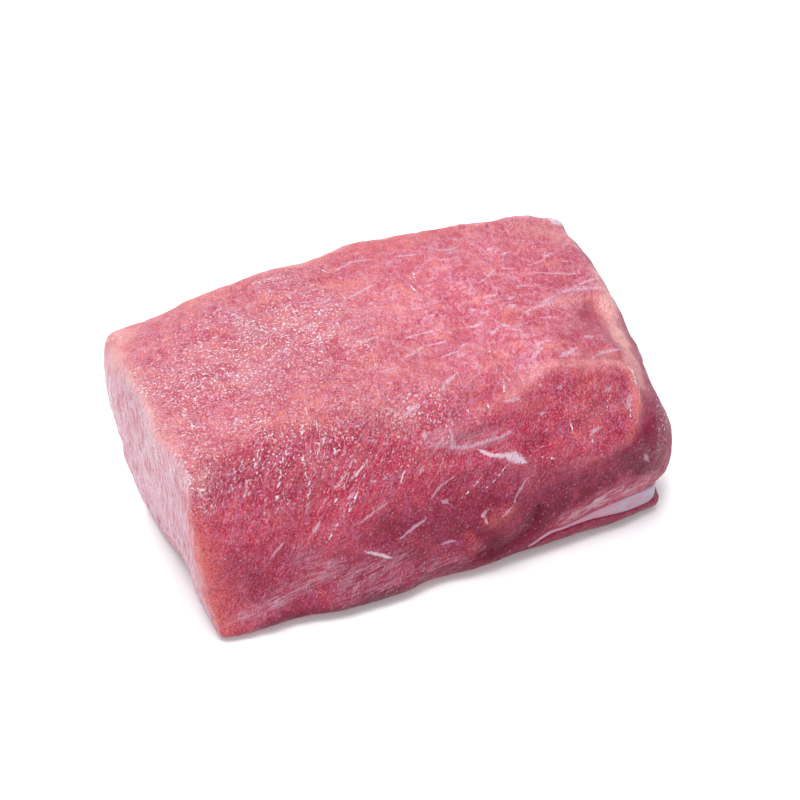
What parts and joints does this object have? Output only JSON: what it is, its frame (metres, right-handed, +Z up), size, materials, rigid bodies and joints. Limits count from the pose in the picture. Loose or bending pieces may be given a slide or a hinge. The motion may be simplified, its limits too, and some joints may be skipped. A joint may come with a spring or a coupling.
{
  "type": "raw pork tenderloin block",
  "caption": "Trimmed block of raw lean pork with square-cut ends, a wide rounded shoulder and a wedge of fat under one end. It lies flat.",
  "frame": {"origin": "the middle of the footprint, on the surface that the block lies on", "axes": "+X along the block from the upright cut to the end with the fat seam, -Y the shouldered front face, +Z up"},
  "size_m": [0.1439, 0.0826, 0.0637],
  "materials": {
    "lean_meat": "moist",
    "fat": "moist"
  },
  "bodies": {
    "root": {"main_muscle": "lean_meat", "fat_seam": "fat", "side_muscle": "lean_meat"}
  },
  "joints": []
}
